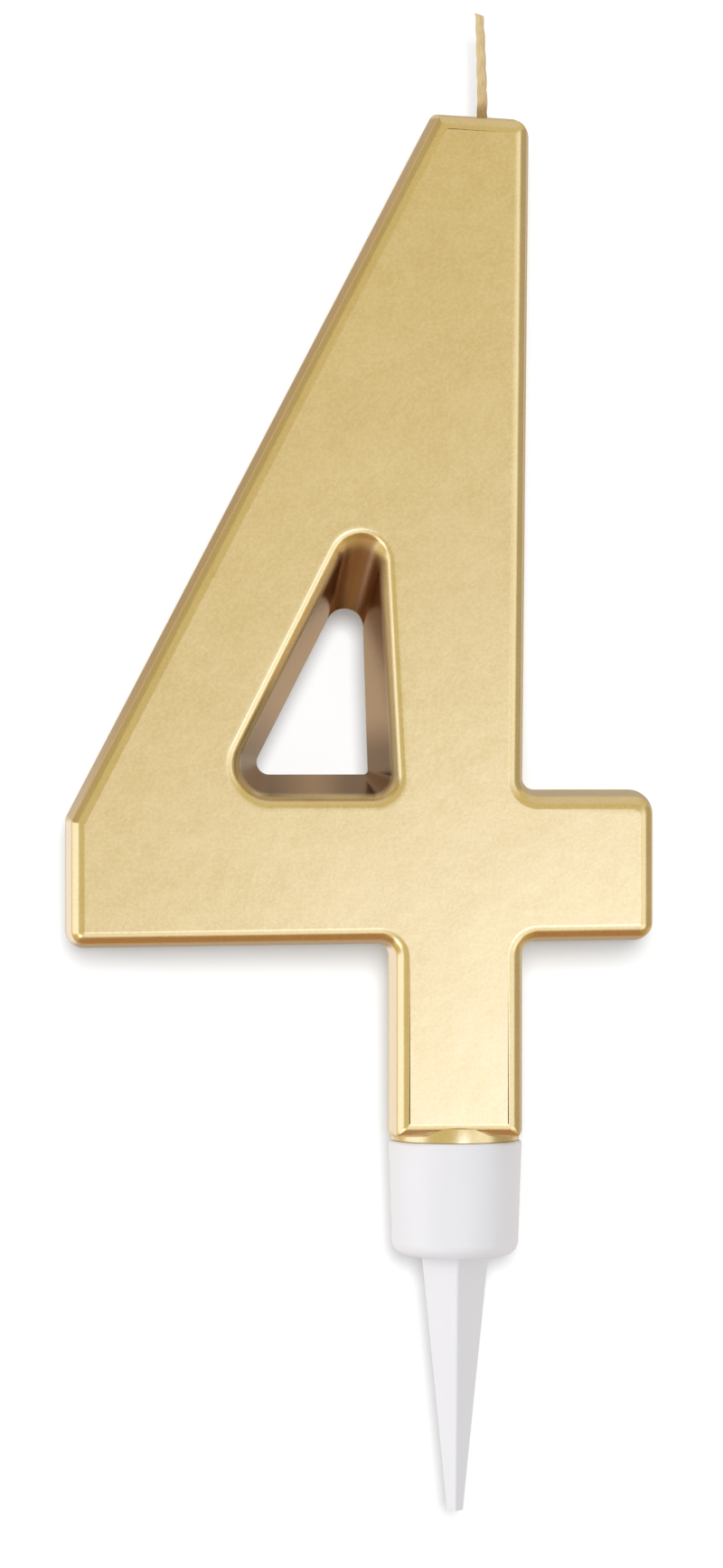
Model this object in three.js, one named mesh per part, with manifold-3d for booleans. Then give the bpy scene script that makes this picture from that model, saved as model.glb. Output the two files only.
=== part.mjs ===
// Number candle: a wax figure 4 moulded round a cotton wick, and a plastic holder with a cup for
// the candle's foot and a spike that stands it in a cake.
//
// Millimetres. +Z is up, +X is to the right as the figure is read, and the reader is on the -Y side.
// The origin is on the holder's axis at the underside of the cup, the face that rests on the cake.
//
// The figure comes from a two-part mould that closes on its middle plane, Y = 0. Its outline is
// widest there, the walls draw in towards both faces, and the eye of the 4 is narrowest there.

import * as THREE from "three";
import { mergeVertices } from "three/addons/utils/BufferGeometryUtils.js";
import Module from "manifold-3d";

const wasm = await Module();
wasm.setup();

// Holder: a round cup with a square tapered spike that has one edge to the front
const cupRimRadius = 5.9;
const cupBaseRadius = 5.55;
const cupHeight = 10.25;
const cupWall = 1.0;
const cupFloor = 1.2;
const cupBaseRound = 1.3;
const cupLipRound = 0.3;
const spikeLength = 22.7;
const spikeTopSide = 4.32;
const spikeTipSide = 0.8;
const spikeTopRound = 0.25;
const spikeTipRound = 0.1;

// Foot of the candle: a round collar that sits on the cup's rim and stands out from the stem's faces
// by a hair, and a plug that fills the cup
const seatGap = 0.05;
const collarHeight = 1.3;
const collarStandOut = 0.05;
const collarRound = 0.1;
const plugClearance = 0.12;
const plugEndGap = 0.4;
const plugEndRound = 0.6;

// Strokes of the figure, measured on the parting plane
const thickness = 11.2;
const stemWidth = 11.9;
const stemSink = 1.25;
const legLength = 16.95;
const barHeight = 14.0;
const barRise = 0.65;
const upperHeight = 59.75;
const leftReach = 34.5;
const rightReach = 17.55;
const shoulderRise = 11.5;
const topWidth = 8.55;
const topFall = 0.5;
const stemFlare = 0.55;

// Corners of the figure
const outerRound = 1.65;
const armEndRound = 2.2;
const shoulderRound = 1.1;
const topLeftRound = 0.8;
const innerRound = 1.0;
const footRound = 1.2;
const leastRound = 0.3;

// Walls of the figure, and the bevel between each wall and the faces
const wallDraw = 0.5;
const bevelWidth = 0.75;
const bevelDepth = 0.68;
const bevelBulge = 0.1;

// Eye of the 4, the hole between the strokes: how wide it leaves the upright and the diagonal, how
// far its sill lies above the top of the right arm, the degrees that its two upper sides lean in
// from the strokes' outer edges, and the rounds of its corners
const eyeMouth = {
  upright: 10.75,
  diagonal: 10.2,
  sill: -1.23,
  uprightLean: 3.05,
  diagonalLean: 0.9,
  rounds: { left: 3.6, right: 2.5, apex: 2.7 },
};
const eyeWaist = {
  upright: 13.7,
  diagonal: 12.6,
  sill: 1.35,
  uprightLean: 1.85,
  diagonalLean: 0.6,
  rounds: { left: 1.1, right: 0.35, apex: 1.65 },
};

// Wick: a braid that the wax is cast round, from the end of the plug to above the figure
const wickWidth = 1.0;
const wickDepth = 0.85;
const wickTipScale = 0.83;
const wickShown = 8.8;
const wickOffset = 0.15;
const wickLean = 0.26;
const wickTipSlant = 0.38;
const wickGap = 0.05;

// Fineness of the curves
const roundSteps = 8;
const lipSteps = 4;
const bevelSteps = 3;
const turnSteps = 64;
const wickSides = 12;
const wickSteps = 6;

// Sizes and levels that the pieces share
const halfThickness = thickness / 2;
const halfStem = stemWidth / 2;
const faceDraw = wallDraw + bevelWidth;
const seatLevel = cupHeight + seatGap;
const collarTop = seatLevel + collarHeight;
const collarRadius = halfThickness + collarStandOut;
const stemFoot = collarTop - stemSink;
const barBottom = stemFoot + legLength;
const barTop = barBottom + barHeight;
const figureTop = barTop + upperHeight;
const topRight = halfStem + stemFlare;
const topLeft = topRight - topWidth;
const plugEnd = cupFloor + plugEndGap;
const wickExit = (topLeft + topRight) / 2 + wickOffset;
const overrun = 1;

// A corner of an outline, with the radius of its fillet.
function corner(x, y, round = 0) {
  return { point: new THREE.Vector2(x, y), round };
}

// The points of a fillet at a corner between two straight sides.
function fillet(before, { point, round }, after, steps) {
  const toBefore = before.point.clone().sub(point).normalize();
  const toAfter = after.point.clone().sub(point).normalize();
  const halfAngle = Math.acos(toBefore.dot(toAfter)) / 2;
  const middle = toBefore.clone().add(toAfter).normalize();
  const centre = point.clone().addScaledVector(middle, round / Math.sin(halfAngle));
  const start = point.clone().addScaledVector(toBefore, round / Math.tan(halfAngle));
  const turn = (2 * halfAngle - Math.PI) * Math.sign(toBefore.cross(toAfter));
  return Array.from({ length: steps + 1 }, (_, i) =>
    start.clone().rotateAround(centre, (turn * i) / steps),
  );
}

// The points of a closed outline with a fillet at every corner.
function closedOutline(corners) {
  return corners.flatMap((each, i) =>
    fillet(corners.at(i - 1), each, corners[(i + 1) % corners.length], roundSteps),
  );
}

// The points of an open profile with a fillet at every corner that has a round.
function openProfile(corners) {
  return corners.flatMap((each, i) =>
    each.round > 0 ? fillet(corners[i - 1], each, corners[i + 1], lipSteps) : [each.point],
  );
}

// Where two lines cross, each given by a point and a direction.
function crossing(pointA, alongA, pointB, alongB) {
  const reach = pointB.clone().sub(pointA).cross(alongB) / alongA.cross(alongB);
  return pointA.clone().addScaledVector(alongA, reach);
}

// A counter-clockwise outline after every side has moved inwards by a distance. An outside corner
// gets tighter by that distance and an inside corner gets wider, so the band between stays even.
function inset(corners, distance) {
  const sides = corners.map(({ point }, i) => {
    const along = corners[(i + 1) % corners.length].point.clone().sub(point).normalize();
    const inwards = new THREE.Vector2(-along.y, along.x);
    return { point: point.clone().addScaledVector(inwards, distance), along };
  });
  return sides.map((side, i) => {
    const last = sides.at(i - 1);
    const { x, y } = crossing(last.point, last.along, side.point, side.along);
    const bend = Math.sign(last.along.cross(side.along));
    return corner(x, y, Math.max(corners[i].round - bend * distance, leastRound));
  });
}

// A closed geometry through sections along +Z, each { outline, level } with as many points. A level
// is a height, or a function that gives the height of each point of the outline.
function loft(sections) {
  const count = sections[0].outline.length;
  const positions = sections.flatMap(({ outline, level }) =>
    outline.flatMap((p) => [p.x, p.y, typeof level === "function" ? level(p) : level]),
  );
  const faces = [];
  for (let first = 0; first < (sections.length - 1) * count; first += count) {
    for (let i = 0; i < count; i++) {
      const low = first + i;
      const lowNext = first + ((i + 1) % count);
      faces.push(low, lowNext, lowNext + count);
      faces.push(low, lowNext + count, low + count);
    }
  }
  for (const [a, b, c] of THREE.ShapeUtils.triangulateShape(sections[0].outline, [])) {
    faces.push(a, c, b);
  }
  const lid = (sections.length - 1) * count;
  for (const [a, b, c] of THREE.ShapeUtils.triangulateShape(sections.at(-1).outline, [])) {
    faces.push(lid + a, lid + b, lid + c);
  }
  const geometry = new THREE.BufferGeometry();
  geometry.setAttribute("position", new THREE.Float32BufferAttribute(positions, 3));
  geometry.setIndex(faces);
  return geometry;
}

// A closed geometry turned about Z from a profile that starts and ends on the axis.
function turned(corners) {
  return new THREE.LatheGeometry(openProfile(corners), turnSteps).rotateX(Math.PI / 2);
}

// A solid that can be joined and cut, from a closed geometry.
function solidOf(geometry) {
  const bare = geometry.clone();
  bare.deleteAttribute("normal");
  bare.deleteAttribute("uv");
  const merged = mergeVertices(bare, 1e-4);
  const triVerts = [];
  for (let i = 0; i < merged.index.count; i += 3) {
    const [a, b, c] = merged.index.array.slice(i, i + 3);
    if (a !== b && b !== c && c !== a) triVerts.push(a, b, c);
  }
  return new wasm.Manifold(
    new wasm.Mesh({
      numProp: 3,
      vertProperties: merged.attributes.position.array,
      triVerts: new Uint32Array(triVerts),
    }),
  );
}

// A named piece with flat-shaded faces, from a solid.
function piece(name, solid, material) {
  const { vertProperties, triVerts } = solid.getMesh();
  const geometry = new THREE.BufferGeometry();
  geometry.setAttribute("position", new THREE.BufferAttribute(vertProperties, 3));
  geometry.setIndex(new THREE.BufferAttribute(triVerts, 1));
  const faceted = geometry.toNonIndexed();
  faceted.computeVertexNormals();
  const mesh = new THREE.Mesh(faceted, material);
  mesh.name = name;
  return mesh;
}

// The figure's outer outline on the parting plane, from the stem's foot round to the left.
function figureCorners() {
  const risen = (x) => barBottom + (barRise * (x + leftReach)) / (leftReach + rightReach);
  return [
    corner(-halfStem, stemFoot, footRound),
    corner(halfStem, stemFoot, footRound),
    corner(halfStem, risen(halfStem), innerRound),
    corner(rightReach, risen(rightReach), outerRound),
    corner(rightReach, barTop, armEndRound),
    corner(halfStem, barTop, innerRound),
    corner(topRight, figureTop - topFall, outerRound),
    corner(topLeft, figureTop, topLeftRound),
    corner(-leftReach, barBottom + shoulderRise, shoulderRound),
    corner(-leftReach, barBottom, outerRound),
    corner(-halfStem, risen(-halfStem), innerRound),
  ];
}

// The eye's three corners, from the sizes of its mouth or of its waist.
function eyeCorners({ upright, diagonal, sill, uprightLean, diagonalLean, rounds }) {
  const turnedBy = (side, degrees) =>
    side.clone().rotateAround(new THREE.Vector2(), THREE.MathUtils.degToRad(degrees));
  const shoulder = new THREE.Vector2(-leftReach, barBottom + shoulderRise);
  const slant = new THREE.Vector2(topLeft, figureTop).sub(shoulder).normalize();
  const innerEdge = shoulder.addScaledVector(new THREE.Vector2(slant.y, -slant.x), diagonal);
  const right = new THREE.Vector2(halfStem - upright, barTop + sill);
  const left = crossing(innerEdge, slant, right, new THREE.Vector2(1, 0));
  const rightSide = turnedBy(new THREE.Vector2(0, 1), uprightLean);
  const apex = crossing(left, turnedBy(slant, diagonalLean), right, rightSide);
  return [
    corner(left.x, left.y, rounds.left),
    corner(right.x, right.y, rounds.right),
    corner(apex.x, apex.y, rounds.apex),
  ];
}

// The slightly bulging bevel, from the edge of a face down to the wall: how far each point lies
// across from the face's edge, and how far below the face.
function bevel() {
  const slope = Math.hypot(bevelWidth, bevelDepth);
  return Array.from({ length: bevelSteps + 1 }, (_, i) => {
    const part = i / bevelSteps;
    const bulge = bevelBulge * Math.sin(Math.PI * part);
    return {
      across: bevelWidth * part + (bulge * bevelDepth) / slope,
      down: bevelDepth * part - (bulge * bevelWidth) / slope,
    };
  });
}

// A geometry that is alike on both sides of the parting plane, standing up with its front at -Y.
// The sections run from the parting plane to the front face.
function twoSided(frontSections) {
  const backSections = frontSections
    .slice(1)
    .map(({ outline, level }) => ({ outline, level: -level }))
    .reverse();
  return loft([...backSections, ...frontSections]).rotateX(Math.PI / 2);
}

// The figure's body, still without its eye.
function figureBody() {
  const corners = figureCorners();
  const section = (distance, level) => ({ outline: closedOutline(inset(corners, distance)), level });
  const edge = bevel().map(({ across, down }) => section(faceDraw - across, halfThickness - down));
  return twoSided([section(0, 0), ...edge.reverse()]);
}

// The space of the eye: bevelled mouths that run out past both faces, and walls that narrow
// evenly from there to the waist.
function eyeSpace() {
  const mouth = eyeCorners(eyeMouth);
  const section = (corners, level) => ({ outline: closedOutline(corners), level });
  const edge = bevel().map(({ across, down }) => section(inset(mouth, across), halfThickness - down));
  return twoSided([
    section(eyeCorners(eyeWaist), 0),
    ...edge.reverse(),
    section(mouth, halfThickness + overrun),
  ]);
}

// The cup's outer radius at a height above its underside.
function cupRadius(height) {
  return THREE.MathUtils.mapLinear(height, 0, cupHeight, cupBaseRadius, cupRimRadius);
}

// The foot: a collar as wide as the stem is thick, and a plug that follows the cup's inner wall.
function candleFoot() {
  const plugRadius = (height) => cupRadius(height) - cupWall - plugClearance;
  return turned([
    corner(0, plugEnd),
    corner(plugRadius(plugEnd), plugEnd, plugEndRound),
    corner(plugRadius(seatLevel), seatLevel),
    corner(collarRadius, seatLevel),
    corner(collarRadius, collarTop, collarRound),
    corner(0, collarTop),
  ]);
}

// The wick's section at a height, wider by a margin on every side. It stands straight in the wax,
// and above it bends a little to the left and gets thinner.
function wickSection(height, margin, slant = 0) {
  const risen = Math.max(height - figureTop, 0) / wickShown;
  const scale = THREE.MathUtils.lerp(1, wickTipScale, risen);
  const centre = wickExit - wickLean * risen ** 2;
  const outline = Array.from({ length: wickSides }, (_, i) => {
    const angle = (2 * Math.PI * i) / wickSides;
    const x = centre + Math.cos(angle) * ((wickWidth * scale) / 2 + margin);
    const y = Math.sin(angle) * ((wickDepth * scale) / 2 + margin);
    return new THREE.Vector2(x, y);
  });
  return { outline, level: (p) => height - (slant * (p.x - centre)) / wickWidth };
}

function waxDigit(material) {
  const channel = [plugEnd - overrun, figureTop + overrun].map((height) => ({
    outline: wickSection(plugEnd, wickGap).outline,
    level: height,
  }));
  const solid = solidOf(figureBody())
    .subtract(solidOf(eyeSpace()))
    .add(solidOf(candleFoot()))
    .subtract(solidOf(loft(channel)));
  return piece("wax_digit", solid, material);
}

function wick(material) {
  const shown = Array.from({ length: wickSteps + 1 }, (_, i) => figureTop + (wickShown * i) / wickSteps);
  const sections = [plugEnd, ...shown.slice(0, -1)].map((height) => wickSection(height, 0));
  const tip = wickSection(figureTop + wickShown, 0, wickTipSlant);
  return piece("wick", solidOf(loft([...sections, tip])), material);
}

function pickHolder(material) {
  const cup = turned([
    corner(0, 0),
    corner(cupRadius(0), 0, cupBaseRound),
    corner(cupRadius(cupHeight), cupHeight, cupLipRound),
    corner(cupRadius(cupHeight) - cupWall, cupHeight, cupLipRound),
    corner(cupRadius(cupFloor) - cupWall, cupFloor, cupLipRound),
    corner(0, cupFloor),
  ]);
  const square = (side, round) => {
    const reach = side / Math.SQRT2;
    return closedOutline([
      corner(reach, 0, round),
      corner(0, reach, round),
      corner(-reach, 0, round),
      corner(0, -reach, round),
    ]);
  };
  const spike = loft([
    { outline: square(spikeTipSide, spikeTipRound), level: -spikeLength },
    { outline: square(spikeTopSide, spikeTopRound), level: 0 },
    { outline: square(spikeTopSide, spikeTopRound), level: cupFloor / 2 },
  ]);
  return piece("pick_holder", solidOf(cup).add(solidOf(spike)), material);
}

const goldWax = new THREE.MeshStandardMaterial({ color: 0xdcc58c, metalness: 0.6, roughness: 0.42 });
const cotton = new THREE.MeshStandardMaterial({ color: 0xcdb07c, metalness: 0, roughness: 0.9 });
const whitePlastic = new THREE.MeshStandardMaterial({ color: 0xf3f1f3, metalness: 0, roughness: 0.4 });

const candle = new THREE.Group();
candle.name = "candle";
candle.add(waxDigit(goldWax), wick(cotton));

const numberCandle = new THREE.Group();
numberCandle.name = "number_candle";
numberCandle.add(pickHolder(whitePlastic), candle);

export default numberCandle;
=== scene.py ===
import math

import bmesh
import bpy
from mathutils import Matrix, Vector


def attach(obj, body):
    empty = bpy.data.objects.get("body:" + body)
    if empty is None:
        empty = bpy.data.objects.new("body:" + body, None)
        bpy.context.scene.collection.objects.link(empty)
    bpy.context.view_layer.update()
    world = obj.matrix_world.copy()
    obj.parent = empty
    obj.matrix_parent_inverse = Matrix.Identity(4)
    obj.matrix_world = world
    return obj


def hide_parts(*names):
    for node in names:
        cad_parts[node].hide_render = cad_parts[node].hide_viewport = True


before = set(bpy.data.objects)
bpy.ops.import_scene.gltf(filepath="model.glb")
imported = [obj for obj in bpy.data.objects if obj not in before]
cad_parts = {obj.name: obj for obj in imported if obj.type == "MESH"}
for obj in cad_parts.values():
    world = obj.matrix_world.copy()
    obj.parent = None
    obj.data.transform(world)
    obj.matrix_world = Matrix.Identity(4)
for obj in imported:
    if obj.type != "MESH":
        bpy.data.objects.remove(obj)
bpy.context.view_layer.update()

# Number candle: a wax 4 with a gold lacquer and a plaited wick, on a white plastic pick.
#
# Shapes are made in millimetres and brought to metres at the end. +Z is up, the reader is on the -Y
# side, and the origin is on the pick's axis at the underside of its cup. The candle lies with its
# back on a pale floor, which therefore stands upright behind it.

# Pick: a round cup, and a square tapered spike that has one edge to the front
CUP_RIM_RADIUS = 5.9
CUP_BASE_RADIUS = 5.55
CUP_HEIGHT = 10.25
CUP_WALL = 1.0
CUP_FLOOR = 1.2
CUP_BASE_ROUND = 1.3
CUP_LIP_ROUND = 0.3
SPIKE_LENGTH = 22.7
SPIKE_TOP_SIDE = 4.32
SPIKE_TIP_SIDE = 1.05
SPIKE_TOP_ROUND = 0.25
SPIKE_TIP_ROUND = 0.1

# Foot of the candle: a collar that sits on the cup's rim, and a plug that fills the cup
SEAT_GAP = 0.05
COLLAR_HEIGHT = 1.3
COLLAR_RADIUS = 5.65
COLLAR_ROUND = 0.1
PLUG_CLEARANCE = 0.12
PLUG_END_GAP = 0.4
PLUG_END_ROUND = 0.6
SEAT_LEVEL = CUP_HEIGHT + SEAT_GAP
COLLAR_TOP = SEAT_LEVEL + COLLAR_HEIGHT
PLUG_END = CUP_FLOOR + PLUG_END_GAP

# Strokes of the figure, measured on the mould's parting plane
HALF_THICKNESS = 5.6
HALF_STEM = 5.95
STEM_SINK = 1.25
STEM_FLARE = 0.55
LEG_LENGTH = 16.95
BAR_HEIGHT = 14.0
BAR_RISE = 0.65
UPPER_HEIGHT = 59.75
LEFT_REACH = 34.5
RIGHT_REACH = 17.55
SHOULDER_RISE = 11.5
TOP_WIDTH = 8.55
TOP_FALL = 0.5
STEM_FOOT = COLLAR_TOP - STEM_SINK
BAR_BOTTOM = STEM_FOOT + LEG_LENGTH
BAR_TOP = BAR_BOTTOM + BAR_HEIGHT
FIGURE_TOP = BAR_TOP + UPPER_HEIGHT
TOP_RIGHT = HALF_STEM + STEM_FLARE
TOP_LEFT = TOP_RIGHT - TOP_WIDTH

# Rounds at the corners of the figure's outline
OUTER_ROUND = 1.65
ARM_END_ROUND = 2.2
SHOULDER_ROUND = 1.1
TOP_LEFT_ROUND = 0.8
INNER_ROUND = 1.0
FOOT_ROUND = 0.8
LEAST_ROUND = 0.3

# Walls and bevels of the figure. The brow is the small round where a bevel meets the face, and the
# heel the one where it meets the wall. The mould leaves a thin ridge round the middle.
WALL_DRAW = 0.5
BEVEL_WIDTH = 0.75
BEVEL_DEPTH = 0.68
BROW = 0.4
BROW_STEPS = 6
HEEL = 0.2
HEEL_STEPS = 3
EYE_BROW = 0.3
EYE_HEEL = 0.6
EYE_HEEL_STEPS = 5
RIDGE_HEIGHT = 0.05
RIDGE_REACH = 0.14

# Wick: three strands plaited to a cord that leans a little to the left above the wax
WICK_SHOWN = 8.8
WICK_OFFSET = 0.15
WICK_LEAN = 0.26
WICK_THINNING = 0.17
WICK_SLANT = 0.38
WICK_STEP = 0.25
WICK_SPARE = 0.6
STRAND_COUNT = 3
STRAND_RADIUS = 0.33
STRAND_SWING = 0.16
STRAND_DEPTH = 0.09
PLAIT_PITCH = 5.5
WICK_EXIT = (TOP_LEFT + TOP_RIGHT) / 2 + WICK_OFFSET

# Fineness of the curves, and the angle in degrees above which an edge looks sharp
ROUND_STEPS = 12
PROFILE_STEPS = 6
TURN_STEPS = 128
SHARP_ANGLE = 24
MERGE_DISTANCE = 1e-4
TO_METRES = 0.001

# Painted shade in the eye: its walls are painted a darker brown than the gold, and darker still in the
# corners, where shade falls. The shade lies in an oval round the eye, given by its middle, the share by
# which heights count and the distances between which it ends. Across the wall it ends between two
# depths, and just inside the rim the lacquer has fewer flakes, both given by the squares of their depths.
# Near the apex more of the flakes are left. Each of the corners, left, right and apex, has its own reach
# and strength of painted shade.
EYE_MIDDLE = (-10.5, 50.5)
EYE_SQUEEZE = 0.62
EYE_REACH = (11.9, 13.2)
WALL_END = (17, 25)
BAND_START = (15, 19)
BAND_END = (25, 28)
FLAKE_LOSS = 0.5
LOSS_AT_APEX = 0.25
APEX_REACH = (4, 9)
CORNER_CORE = 3
CORNER_REACH = (10, 7, 17)
CORNER_STRENGTH = (1, 1, 0.15)

# Pale floor: how far it lies behind the parting plane, and how much it glows and takes light
FLOOR_DEPTH = 6.4
FLOOR_SIZE = 600
FLOOR_MIDDLE = 40
FLOOR_GLOW = 0.25
FLOOR_SHADE = 0.3

# Light tent, as the gold sees it: for each patch the way it lies from the candle, its brightness in
# red, green and blue, and the degrees from its middle where it starts to fade and where it ends
TENT_RADIUS = 900
TENT_SHADED = (0.75, 0.675, 0.46)
TENT_LIT = (1.18, 1.21, 1.32)
TENT_EDGE = (0.0, 0.5)
TENT_PATCHES = [
    ((0, 1, 0), (0.9, 0.86, 0.76), 50, 80),
    ((0.2, -1, -0.2), (2.0, 2.27, 3.5), 3, 17.5),
    ((-1, -0.1, -0.12), (1.4, 1.5, 1.85), 20, 32),
    ((-0.62, -0.45, -0.62), (2.2, 2.3, 2.8), 8, 22),
    ((0, 0, 1), (0.8, 0.75, 0.7), 25, 45),
    ((-0.89, 0, 0.46), (0.56, 0.49, 0.33), 16, 28),
    ((1, 0.1, 0.1), (0.52, 0.46, 0.38), 24, 34),
    ((0.9, 0, -0.42), (0.5, 0.42, 0.28), 14, 26),
    ((0.74, -0.55, -0.38), (1.45, 1.5, 1.8), 8, 20),
    ((-0.1, 0, -1), (0.46, 0.26, 0.145), 34, 42),
    ((-0.25, -0.42, -0.87), (0.52, 0.37, 0.15), 6, 15),
    ((0.52, -0.15, -0.84), (0.52, 0.38, 0.17), 12, 22),
    ((-0.86, 0.02, -0.5), (0.72, 0.58, 0.26), 12, 23),
    ((-0.6, 0.35, -0.6), (0.66, 0.48, 0.26), 14, 26),
    ((-0.85, 0.42, -0.3), (0.85, 0.65, 0.38), 10, 22),
    ((0, 0.6, -0.8), (0.6, 0.42, 0.26), 20, 34),
    ((0.58, 0.42, -0.7), (0.55, 0.38, 0.22), 14, 24),
    ((0.82, 0.36, -0.44), (0.85, 0.72, 0.56), 12, 22),
    ((0.72, 0.59, -0.37), (0.72, 0.57, 0.38), 12, 22),
    ((0, 0.68, 0.73), (0.7, 0.62, 0.5), 14, 28),
    ((0.6, 0.6, 0.5), (0.66, 0.52, 0.36), 16, 28),
    ((-0.6, 0.6, 0.5), (0.7, 0.55, 0.4), 16, 28),
    ((0, 1, 0), (0.42, 0.35, 0.3), 17, 27),
    ((-0.18, 0.97, 0.15), (0.4, 0.28, 0.15), 8, 13),
    ((-0.3, 0.95, -0.06), (1.05, 0.98, 0.95), 8, 14),
]

# Light of the white room on everything that isn't gloss
ROOM_LIGHT = 0.75

# Camera: what it looks at, from how far, the degrees that it stands to the side and above, its lens
# and sensor, and in metres the nearest that it sees
CAMERA_TARGET = (-8.3, 0, 41.8)
CAMERA_DISTANCE = 600
CAMERA_SIDE = -2.9
CAMERA_RISE = 1.2
CAMERA_LENS = 155.53
CAMERA_SENSOR = 36
CAMERA_NEAREST = 0.05


def fillet(before, point, after, radius):
    """Where a fillet starts, its centre, and the angle that it turns."""
    to_before = (before - point).normalized()
    to_after = (after - point).normalized()
    half_angle = to_before.angle(to_after) / 2
    middle = (to_before + to_after).normalized()
    start = point + to_before * radius / math.tan(half_angle)
    centre = point + middle * radius / math.sin(half_angle)
    turn = (2 * half_angle - math.pi) * math.copysign(1, to_before.cross(to_after))
    return start, centre, turn


def trace(bm, corners, depth, closed=True, steps=ROUND_STEPS):
    """The edges of an outline that stands at a depth, with each corner spun about its fillet's centre."""
    def upright(place):
        return Vector((place.x, depth, place.y))

    known = set(bm.edges)
    tips = []
    for i, (point, radius) in enumerate(corners):
        before, after = corners[i - 1][0], corners[(i + 1) % len(corners)][0]
        start, centre, turn = fillet(before, point, after, radius) if radius else (point, point, 0)
        if tips:
            tips = bmesh.ops.extrude_vert_indiv(bm, verts=tips)["verts"]
            tips[0].co = upright(start)
        else:
            first = bm.verts.new(upright(start))
            tips = [first]
        if radius:
            arc = bmesh.ops.spin(
                bm, geom=tips, cent=upright(centre), axis=(0, -1, 0), angle=turn, steps=steps
            )
            tips = [part for part in arc["geom_last"] if isinstance(part, bmesh.types.BMVert)]
    if closed:
        bm.edges.new((tips[0], first))
    return [edge for edge in bm.edges if edge not in known]


def crossing(point_a, along_a, point_b, along_b):
    """Where two lines cross, each given by a point and a direction."""
    return point_a + along_a * ((point_b - point_a).cross(along_b) / along_a.cross(along_b))


def inset(corners, distance):
    """A counter-clockwise outline after every side has moved inwards by a distance."""
    sides = []
    for (point, _), (following, _) in zip(corners, corners[1:] + corners[:1]):
        along = (following - point).normalized()
        sides.append((point + Vector((-along.y, along.x)) * distance, along))
    moved = []
    for i, (point, along) in enumerate(sides):
        last_point, last_along = sides[i - 1]
        bend = math.copysign(1, last_along.cross(along))
        radius = max(corners[i][1] - bend * distance, LEAST_ROUND)
        moved.append((crossing(last_point, last_along, point, along), radius))
    return moved


def figure_corners():
    """The figure's outer outline on the parting plane, from the stem's foot round to the left."""
    def risen(x):
        return BAR_BOTTOM + BAR_RISE * (x + LEFT_REACH) / (LEFT_REACH + RIGHT_REACH)

    places = [
        (-HALF_STEM, STEM_FOOT, FOOT_ROUND),
        (HALF_STEM, STEM_FOOT, FOOT_ROUND),
        (HALF_STEM, risen(HALF_STEM), INNER_ROUND),
        (RIGHT_REACH, risen(RIGHT_REACH), OUTER_ROUND),
        (RIGHT_REACH, BAR_TOP, ARM_END_ROUND),
        (HALF_STEM, BAR_TOP, INNER_ROUND),
        (TOP_RIGHT, FIGURE_TOP - TOP_FALL, OUTER_ROUND),
        (TOP_LEFT, FIGURE_TOP, TOP_LEFT_ROUND),
        (-LEFT_REACH, BAR_BOTTOM + SHOULDER_RISE, SHOULDER_ROUND),
        (-LEFT_REACH, BAR_BOTTOM, OUTER_ROUND),
        (-HALF_STEM, risen(-HALF_STEM), INNER_ROUND),
    ]
    return [(Vector((x, z)), radius) for x, z, radius in places]


def eye_corners(upright, diagonal, sill, upright_lean, diagonal_lean, rounds):
    """The eye's three corners: left, right and apex. The eye leaves the upright and the diagonal so
    wide, its sill lies so far above the bar's top, and its upper sides lean in by so many degrees."""
    def leant(side, degrees):
        return Matrix.Rotation(math.radians(degrees), 2) @ side

    shoulder = Vector((-LEFT_REACH, BAR_BOTTOM + SHOULDER_RISE))
    slant = (Vector((TOP_LEFT, FIGURE_TOP)) - shoulder).normalized()
    inner_edge = shoulder + Vector((slant.y, -slant.x)) * diagonal
    right = Vector((HALF_STEM - upright, BAR_TOP + sill))
    left = crossing(inner_edge, slant, right, Vector((1, 0)))
    apex = crossing(left, leant(slant, diagonal_lean), right, leant(Vector((0, 1)), upright_lean))
    return list(zip((left, right, apex), rounds))


# The eye at the faces, and at the parting plane, where it is narrowest
EYE_MOUTH = eye_corners(
    upright=10.75, diagonal=10.2, sill=-1.23, upright_lean=3.05, diagonal_lean=0.9, rounds=(3.6, 2.5, 2.7)
)
EYE_WAIST = eye_corners(
    upright=13.7, diagonal=12.6, sill=1.35, upright_lean=1.85, diagonal_lean=0.6, rounds=(1.1, 0.35, 1.65)
)


def bridge(bm, rings):
    """The walls between rings of edges that follow each other."""
    for near, far in zip(rings, rings[1:]):
        bmesh.ops.bridge_loops(bm, edges=near + far)


def soften(bm, edges, offset, segments):
    """A small round along edges."""
    bmesh.ops.bevel(
        bm, geom=edges, offset=offset, segments=segments, profile=0.5, affect="EDGES", material=-1
    )


def object_of(bm, name):
    """A mesh object from a bmesh, which is used up."""
    mesh = bpy.data.meshes.new(name)
    bm.to_mesh(mesh)
    bm.free()
    made = bpy.data.objects.new(name, mesh)
    bpy.context.scene.collection.objects.link(made)
    return made


def shape_of(thing):
    """A mesh with the shape that an object has after its modifiers."""
    return bpy.data.meshes.new_from_object(thing.evaluated_get(bpy.context.evaluated_depsgraph_get()))


def joined(base, other):
    """A bmesh of two closed shapes joined to one. Both are used up."""
    target, tool = object_of(base, "target"), object_of(other, "tool")
    step = target.modifiers.new("joined", "BOOLEAN")
    step.operation, step.object, step.solver = "UNION", tool, "EXACT"
    bm = bmesh.new()
    bm.from_mesh(shape_of(target))
    for used in (target, tool):
        bpy.data.objects.remove(used)
    return bm


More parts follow.
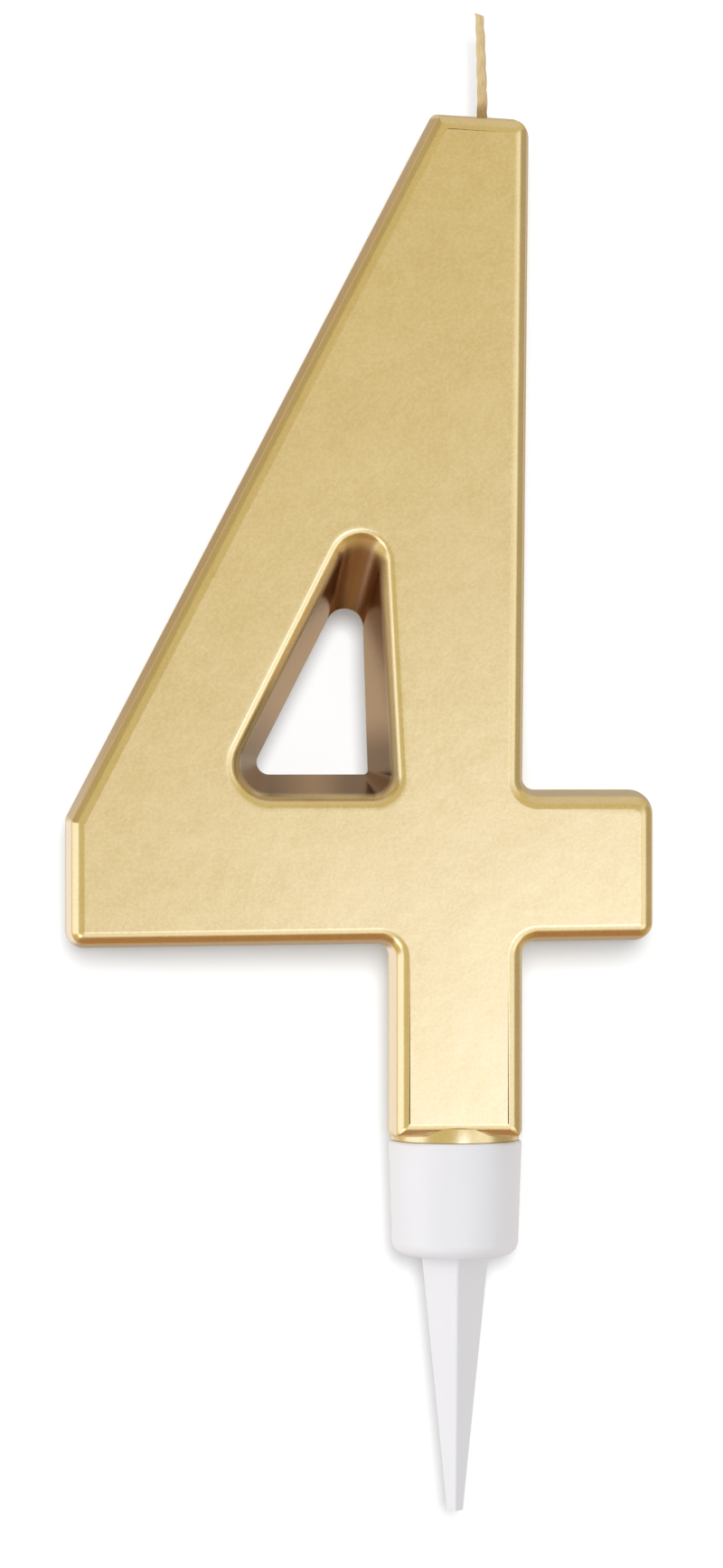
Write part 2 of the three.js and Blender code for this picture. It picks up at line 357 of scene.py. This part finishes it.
def turned(corners):
    """A closed shape spun about Z from a profile that starts and ends on the axis."""
    bm = bmesh.new()
    places = [(Vector((x, z)), radius) for x, z, radius in corners]
    profile = trace(bm, places, 0, closed=False, steps=PROFILE_STEPS)
    geometry = profile + list({vert for edge in profile for vert in edge.verts})
    bmesh.ops.spin(
        bm, geom=geometry, cent=(0, 0, 0), axis=(0, 0, 1), angle=2 * math.pi, steps=TURN_STEPS, use_merge=True
    )
    bmesh.ops.remove_doubles(bm, verts=bm.verts, dist=MERGE_DISTANCE)
    bmesh.ops.recalc_face_normals(bm, faces=bm.faces)
    return bm


def finished(bm, name, body, node, material):
    """The piece in metres, shaded smooth except at its sharp edges."""
    for face in bm.faces:
        face.smooth = True
    for edge in bm.edges:
        edge.smooth = edge.calc_face_angle(0) < math.radians(SHARP_ANGLE)
    bmesh.ops.scale(bm, vec=(TO_METRES,) * 3, verts=bm.verts)
    piece = object_of(bm, name)
    piece.data.materials.append(material)
    even = piece.modifiers.new("even_shading", "WEIGHTED_NORMAL")
    even.keep_sharp = True
    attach(piece, body)
    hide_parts(node)


def figure_half():
    """The front half of the figure, from the parting plane to the face."""
    bm = bmesh.new()
    outline = figure_corners()
    face_level, wall_level = -HALF_THICKNESS, BEVEL_DEPTH - HALF_THICKNESS
    rings = [
        trace(bm, outline, 0),
        trace(bm, inset(outline, RIDGE_HEIGHT), -RIDGE_REACH),
        trace(bm, inset(outline, WALL_DRAW), wall_level),
        trace(bm, inset(outline, WALL_DRAW + BEVEL_WIDTH), face_level),
    ]
    bridge(bm, rings)
    bmesh.ops.contextual_create(bm, geom=rings[-1])
    soften(bm, rings[2], HEEL, HEEL_STEPS)
    soften(bm, rings[3], BROW, BROW_STEPS)
    many_sided = [face for face in bm.faces if len(face.verts) > 4]
    bmesh.ops.delete(bm, geom=many_sided, context="FACES_ONLY")

    eye = [
        trace(bm, inset(EYE_MOUTH, -2 * EYE_BROW), face_level),
        trace(bm, EYE_MOUTH, face_level),
        trace(bm, inset(EYE_MOUTH, BEVEL_WIDTH), wall_level),
        trace(bm, inset(EYE_WAIST, -RIDGE_HEIGHT), -RIDGE_REACH),
        trace(bm, EYE_WAIST, 0),
    ]
    bridge(bm, eye)
    soften(bm, eye[1], EYE_BROW, BROW_STEPS)
    soften(bm, eye[2], EYE_HEEL, EYE_HEEL_STEPS)

    def on_face(edge):
        return all(vert.co.y < face_level + MERGE_DISTANCE for vert in edge.verts)

    rim = [edge for edge in bm.edges if edge.is_boundary and on_face(edge)]
    bmesh.ops.triangle_fill(bm, edges=rim, use_beauty=True, normal=(0, -1, 0))
    return bm


def wax_figure(material):
    """The figure with its collar and its plug."""
    def plug_radius(z):
        outside = CUP_BASE_RADIUS + (CUP_RIM_RADIUS - CUP_BASE_RADIUS) * z / CUP_HEIGHT
        return outside - CUP_WALL - PLUG_CLEARANCE

    bm = figure_half()
    everything = bm.verts[:] + bm.edges[:] + bm.faces[:]
    bmesh.ops.mirror(bm, geom=everything, matrix=Matrix(), merge_dist=MERGE_DISTANCE, axis="Y")
    bmesh.ops.recalc_face_normals(bm, faces=bm.faces)
    foot = turned([
        (0, PLUG_END, 0),
        (plug_radius(PLUG_END), PLUG_END, PLUG_END_ROUND),
        (plug_radius(SEAT_LEVEL), SEAT_LEVEL, 0),
        (COLLAR_RADIUS, SEAT_LEVEL, 0),
        (COLLAR_RADIUS, COLLAR_TOP, COLLAR_ROUND),
        (0, COLLAR_TOP, 0),
    ])
    finished(joined(bm, foot), "gold_wax_figure", "candle", "wax_digit", material)


def plaited_wick(material):
    """Strands that take turns over and under each other, cut off at a slant."""
    end = FIGURE_TOP + WICK_SHOWN
    count = int((end + WICK_SPARE - PLUG_END) / WICK_STEP)
    heights = [PLUG_END + WICK_STEP * i for i in range(count)]
    strands = bpy.data.curves.new("strands", "CURVE")
    strands.dimensions = "3D"
    strands.bevel_depth = STRAND_RADIUS
    strands.bevel_resolution = 2
    strands.use_fill_caps = True
    for strand in range(STRAND_COUNT):
        line = strands.splines.new("POLY")
        line.points.add(len(heights) - 1)
        for point, height in zip(line.points, heights):
            risen = max(height - FIGURE_TOP, 0) / WICK_SHOWN
            scale = 1 - WICK_THINNING * risen
            phase = 2 * math.pi * (height / PLAIT_PITCH + strand / STRAND_COUNT)
            x = WICK_EXIT - WICK_LEAN * risen ** 2 + STRAND_SWING * scale * math.sin(phase)
            y = STRAND_DEPTH * scale * math.sin(2 * phase)
            point.co = (x, y, height, 1)
            point.radius = scale
    cord = bpy.data.objects.new("strands", strands)
    bpy.context.scene.collection.objects.link(cord)
    bm = bmesh.new()
    bm.from_mesh(shape_of(cord))
    bpy.data.objects.remove(cord)
    everything = bm.verts[:] + bm.edges[:] + bm.faces[:]
    tip = Vector((WICK_EXIT - WICK_LEAN, 0, end))
    cut = bmesh.ops.bisect_plane(
        bm, geom=everything, plane_co=tip, plane_no=(WICK_SLANT, 0, 1), clear_outer=True
    )
    edges = [part for part in cut["geom_cut"] if isinstance(part, bmesh.types.BMEdge)]
    bmesh.ops.holes_fill(bm, edges=edges, sides=0)
    finished(bm, "plaited_wick", "candle", "wick", material)


def cup_and_spike(material):
    """The holder, one moulding."""
    cup = turned([
        (0, 0, 0),
        (CUP_BASE_RADIUS, 0, CUP_BASE_ROUND),
        (CUP_RIM_RADIUS, CUP_HEIGHT, CUP_LIP_ROUND),
        (CUP_RIM_RADIUS - CUP_WALL, CUP_HEIGHT, CUP_LIP_ROUND),
        (CUP_BASE_RADIUS - CUP_WALL, CUP_FLOOR, CUP_LIP_ROUND),
        (0, CUP_FLOOR, 0),
    ])
    spike = bmesh.new()
    levels = [
        (-SPIKE_LENGTH, SPIKE_TIP_SIDE, SPIKE_TIP_ROUND),
        (0, SPIKE_TOP_SIDE, SPIKE_TOP_ROUND),
        (CUP_FLOOR / 2, SPIKE_TOP_SIDE, SPIKE_TOP_ROUND),
    ]
    rings = []
    for level, side, radius in levels:
        reach = side / math.sqrt(2)
        square = [(reach, 0), (0, reach), (-reach, 0), (0, -reach)]
        places = [(Vector(place), radius) for place in square]
        rings.append(trace(spike, places, level, steps=PROFILE_STEPS))
    bridge(spike, rings)
    for end in (rings[0], rings[-1]):
        bmesh.ops.contextual_create(spike, geom=end)
    quarter_turn = Matrix.Rotation(math.pi / 2, 3, "X")
    bmesh.ops.rotate(spike, cent=(0, 0, 0), matrix=quarter_turn, verts=spike.verts)
    bmesh.ops.recalc_face_normals(spike, faces=spike.faces)
    finished(joined(cup, spike), "cup_and_spike", "holder", "pick_holder", material)


class Field:
    """The output of a node, which takes part in sums."""

    def __init__(self, nodes, socket):
        self.nodes, self.socket = nodes, socket

    def __add__(self, other):
        return self.nodes.sum("ADD", self, other)

    def __rsub__(self, other):
        return self.nodes.sum("SUBTRACT", other, self)

    def __mul__(self, other):
        return self.nodes.sum("MULTIPLY", self, other)

    __radd__ = __add__
    __rmul__ = __mul__


class Nodes:
    """The nodes of a material or of the world."""

    def __init__(self, owner):
        owner.use_nodes = True
        self.tree = owner.node_tree
        self.tree.nodes.clear()

    def add(self, kind, settings, sockets, output=0):
        """A node of a kind, with its settings and the values or links of its sockets."""
        node = self.tree.nodes.new(kind)
        for name, value in settings.items():
            setattr(node, name, value)
        for name, value in sockets.items():
            if isinstance(value, Field):
                self.tree.links.new(value.socket, node.inputs[name])
            else:
                node.inputs[name].default_value = value
        return Field(self, node.outputs[output]) if node.outputs else node

    def sum(self, operation, first, second):
        return self.add("ShaderNodeMath", {"operation": operation}, {0: first, 1: second})

    def vector(self, operation, first, second, output=0):
        return self.add("ShaderNodeVectorMath", {"operation": operation}, {0: first, 1: second}, output)

    def blend(self, factor, first, second):
        """A colour between two, or the second where the factor is 1."""
        return self.add("ShaderNodeMix", {"data_type": "RGBA"}, {0: factor, 6: first, 7: second}, 2)

    def ramp(self, value, low, high):
        """0 below low, 1 above high, and smooth between."""
        sockets = {"Value": value, "From Min": low, "From Max": high}
        return self.add("ShaderNodeMapRange", {"interpolation_type": "SMOOTHSTEP"}, sockets)

    def millimetres(self, stretch=(1, 1, 1)):
        """The place on the piece in millimetres, squeezed or stretched along each axis."""
        place = self.add("ShaderNodeTexCoord", {}, {}, "Object")
        return self.vector("MULTIPLY", place, tuple(share / TO_METRES for share in stretch))

    def noise(self, place, size, detail):
        """Noise from 0 to 1 with clouds of about a size in millimetres."""
        return self.add("ShaderNodeTexNoise", {}, {"Vector": place, "Scale": 1 / size, "Detail": detail})

    def distance(self, place, point, squeeze=1):
        """How far a place lies from an axis along Y in millimetres, with heights squeezed by a factor."""
        flat = self.vector("MULTIPLY", place, (1, 0, squeeze))
        return self.vector("DISTANCE", flat, (point[0], 0, point[1] * squeeze), "Value")

    def finish(self, height, **sockets):
        """The Principled shader, with a height in millimetres for its bumps."""
        bump = self.add("ShaderNodeBump", {}, {"Height": height, "Distance": TO_METRES})
        values = {name.replace("_", " "): value for name, value in sockets.items()}
        shader = self.add("ShaderNodeBsdfPrincipled", {}, {**values, "Normal": bump})
        self.add("ShaderNodeOutputMaterial", {}, {"Surface": shader})


def paint(red, green, blue):
    """A colour given as it shows on a screen, from 0 to 255."""
    def linear(part):
        return part / 12.92 if part <= 0.04045 else ((part + 0.055) / 1.055) ** 2.4

    return (*(linear(part / 255) for part in (red, green, blue)), 1)


def gold_lacquer():
    """Lacquer with fine metal flakes over wax: soft clouds, a pearly grain and a slightly uneven skin.
    The walls of the eye are painted a darker brown as painted shade, darker still in the corners where
    shade falls, and just inside the eye's rim the lacquer has fewer flakes."""
    material = bpy.data.materials.new("gold_lacquer")
    nodes = Nodes(material)
    place = nodes.millimetres()
    clouds = nodes.noise(place, 6.0, 3)
    patches = nodes.noise(place, 1.6, 2)
    grain = nodes.noise(place, 0.22, 2)
    light = nodes.ramp(clouds * 0.5 + patches * 0.5, 0.3, 0.7)
    ground = nodes.blend(light, paint(224, 201, 143), paint(229, 207, 151))
    pearly = nodes.blend(nodes.ramp(grain, 0.3, 0.75) * 0.35, ground, paint(240, 222, 176))

    # Painted shade: darker brown towards each corner of the eye, where shade falls
    corner_shade = 0
    for (mouth, _), (waist, _), reach, strength in zip(EYE_MOUTH, EYE_WAIST, CORNER_REACH, CORNER_STRENGTH):
        away = nodes.ramp(nodes.distance(place, (mouth + waist) / 2), CORNER_CORE, reach)
        corner_shade = corner_shade + strength * (1 - away)
    # Painted shade for the eye's walls: brown, and a darker brown in the corners
    painted_eye_shade = nodes.blend(corner_shade, paint(174, 141, 106), paint(114, 81, 45))

    depth = nodes.add("ShaderNodeSeparateXYZ", {}, {0: place}, "Y")
    squared = depth * depth
    in_eye = 1 - nodes.ramp(nodes.distance(place, EYE_MIDDLE, EYE_SQUEEZE), *EYE_REACH)
    # The eye's walls, which take the painted shade
    wall = in_eye * (1 - nodes.ramp(squared, *WALL_END))
    apex = (EYE_MOUTH[2][0] + EYE_WAIST[2][0]) / 2
    from_apex = nodes.ramp(nodes.distance(place, apex), *APEX_REACH)
    bare = in_eye * nodes.ramp(squared, *BAND_START) * (1 - nodes.ramp(squared, *BAND_END))
    bare = bare * (LOSS_AT_APEX + (1 - LOSS_AT_APEX) * from_apex)
    nodes.finish(
        clouds * 0.018 + patches * 0.006 + grain * 0.0016,
        Base_Color=nodes.blend(wall, pearly, painted_eye_shade),
        Metallic=1 - FLAKE_LOSS * bare,
        Roughness=0.2 + 0.03 * patches + 0.05 * grain,
        Coat_Weight=0.25,
        Coat_Roughness=0.2,
    )
    return material


def waxed_cotton():
    """Cotton strands coated in wax and gold lacquer, darker where they come out of the candle."""
    material = bpy.data.materials.new("waxed_cotton")
    nodes = Nodes(material)
    place = nodes.millimetres()
    fibres = nodes.noise(nodes.millimetres((1, 1, 0.12)), 0.09, 3)
    patches = nodes.noise(place, 0.9, 2)
    height = nodes.add("ShaderNodeSeparateXYZ", {}, {0: place}, "Z")
    # Darker, more metallic and smoother up to about 1.3 mm above the wax
    wick_foot = 1 - nodes.ramp(height, FIGURE_TOP + 0.2, FIGURE_TOP + 1.3)
    dry = nodes.blend(patches, paint(228, 204, 152), paint(246, 224, 176))
    streaked = nodes.blend(fibres * 0.3, dry, paint(190, 158, 108))
    nodes.finish(
        fibres * 0.05 + patches * 0.03,
        Base_Color=nodes.blend(wick_foot * 0.8, streaked, paint(176, 144, 98)),
        Metallic=0.25 + 0.25 * wick_foot,
        Roughness=0.6 - 0.2 * wick_foot + 0.1 * fibres,
    )
    return material


def white_plastic():
    """Moulded white plastic with a satin skin and a hardly visible unevenness."""
    material = bpy.data.materials.new("white_plastic")
    nodes = Nodes(material)
    flow = nodes.noise(nodes.millimetres((1, 1, 0.3)), 3.0, 2)
    skin = nodes.noise(nodes.millimetres(), 0.35, 2)
    nodes.finish(
        flow * 0.02 + skin * 0.0015,
        Base_Color=nodes.blend(flow, paint(240, 239, 242), paint(246, 244, 246)),
        Roughness=0.34 + 0.08 * flow + 0.05 * skin,
    )
    return material


def staged(bm, name, surface):
    """Something of the studio, in metres, which isn't part of the candle."""
    bmesh.ops.scale(bm, vec=(TO_METRES,) * 3, verts=bm.verts)
    thing = object_of(bm, name)
    material = bpy.data.materials.new(name)
    nodes = Nodes(material)
    nodes.add("ShaderNodeOutputMaterial", {}, {"Surface": surface(nodes)})
    material.cycles.emission_sampling = "NONE"
    thing.data.materials.append(material)
    return thing


def pale_floor():
    """The pale floor under the candle's back. It shows its shadows to the camera from the front only,
    and is clear from behind and to all other light."""
    bm = bmesh.new()
    upright = Matrix.Rotation(math.pi / 2, 4, "X")
    bmesh.ops.create_grid(bm, x_segments=1, y_segments=1, size=FLOOR_SIZE, matrix=upright)
    bmesh.ops.translate(bm, vec=(0, FLOOR_DEPTH, FLOOR_MIDDLE), verts=bm.verts)

    def surface(nodes):
        camera = nodes.add("ShaderNodeLightPath", {}, {}, "Is Camera Ray")
        behind = nodes.add("ShaderNodeNewGeometry", {}, {}, "Backfacing")
        own = nodes.add("ShaderNodeEmission", {}, {"Color": (1, 1, 1, 1), "Strength": FLOOR_GLOW})
        lit = nodes.add("ShaderNodeBsdfDiffuse", {}, {"Color": (FLOOR_SHADE,) * 3 + (1,)})
        both = nodes.add("ShaderNodeAddShader", {}, {0: own, 1: lit})
        clear = nodes.add("ShaderNodeBsdfTransparent", {}, {})
        return nodes.add("ShaderNodeMixShader", {}, {0: camera * (1 - behind), 1: clear, 2: both})

    return staged(bm, "pale_floor", surface)


def light_tent():
    """A tent of cloth round the candle that only gloss sees. It is white below on the right and
    shaded above on the left, with patches for the lights, the floor and the shaded corners."""
    bm = bmesh.new()
    bmesh.ops.create_uvsphere(bm, u_segments=64, v_segments=32, radius=TENT_RADIUS)

    def surface(nodes):
        place = nodes.add("ShaderNodeTexCoord", {}, {}, "Object")
        way = nodes.add("ShaderNodeVectorMath", {"operation": "NORMALIZE"}, {0: place})
        along = nodes.vector("DOT_PRODUCT", way, Vector((1, 0, -1)).normalized()[:], "Value")
        colour = nodes.blend(nodes.ramp(along, *TENT_EDGE), (*TENT_SHADED, 1), (*TENT_LIT, 1))
        for towards, brightness, full, end in TENT_PATCHES:
            along = nodes.vector("DOT_PRODUCT", way, Vector(towards).normalized()[:], "Value")
            patch = nodes.ramp(along, math.cos(math.radians(end)), math.cos(math.radians(full)))
            colour = nodes.blend(patch, colour, (*brightness, 1))
        return nodes.add("ShaderNodeEmission", {}, {"Color": colour})

    tent = staged(bm, "light_tent", surface)
    tent.visible_camera = tent.visible_diffuse = tent.visible_shadow = tent.visible_transmission = False


def white_room():
    """White all round for the camera and for gloss, and a plain soft level for the light it gives."""
    world = bpy.data.worlds.new("white_room")
    bpy.context.scene.world = world
    nodes = Nodes(world)
    rays = ("Is Camera Ray", "Is Glossy Ray", "Is Transmission Ray")
    seen = sum(nodes.add("ShaderNodeLightPath", {}, {}, ray) for ray in rays)
    strength = ROOM_LIGHT + (1 - ROOM_LIGHT) * nodes.ramp(seen, 0, 1)
    background = nodes.add("ShaderNodeBackground", {}, {"Color": (1, 1, 1, 1), "Strength": strength})
    nodes.add("ShaderNodeOutputWorld", {}, {"Surface": background})


def lamp(name, kind, place, towards, **settings):
    """A lamp at a place in millimetres that shines towards another."""
    data = bpy.data.lights.new(name, kind)
    for setting, value in settings.items():
        setattr(data, setting, value)
    made = bpy.data.objects.new(name, data)
    bpy.context.scene.collection.objects.link(made)
    made.location = Vector(place) * TO_METRES
    made.rotation_euler = (Vector(towards) - Vector(place)).to_track_quat("-Z", "Y").to_euler()
    made.visible_glossy = False
    return made


def lamps(floor):
    """A soft lamp from the left in front, and one from above in front that only lights the floor."""
    lamp("left_lamp", "AREA", (-420, -380, 160), (0, 0, 40), energy=0.88, shape="DISK", size=0.32)
    floor_lamp = lamp(
        "floor_lamp", "SUN", (0, -1000, 180), (0, 0, 0), energy=6.9, angle=math.radians(20)
    )
    lit = bpy.data.collections.new("floor_only")
    lit.objects.link(floor)
    floor_lamp.light_linking.receiver_collection = lit


def camera():
    """The camera, nearly level and a little to the left."""
    data = bpy.data.cameras.new("camera")
    data.lens, data.sensor_width, data.clip_start = CAMERA_LENS, CAMERA_SENSOR, CAMERA_NEAREST
    made = bpy.data.objects.new("camera", data)
    bpy.context.scene.collection.objects.link(made)
    side, rise = math.radians(CAMERA_SIDE), math.radians(CAMERA_RISE)
    back = Vector((math.sin(side) * math.cos(rise), -math.cos(side) * math.cos(rise), math.sin(rise)))
    made.location = (Vector(CAMERA_TARGET) + back * CAMERA_DISTANCE) * TO_METRES
    made.rotation_euler = back.to_track_quat("Z", "Y").to_euler()
    bpy.context.scene.camera = made


camera()
wax_figure(gold_lacquer())
plaited_wick(waxed_cotton())
cup_and_spike(white_plastic())
light_tent()
white_room()
lamps(pale_floor())
bpy.context.scene.view_settings.view_transform = "Standard"
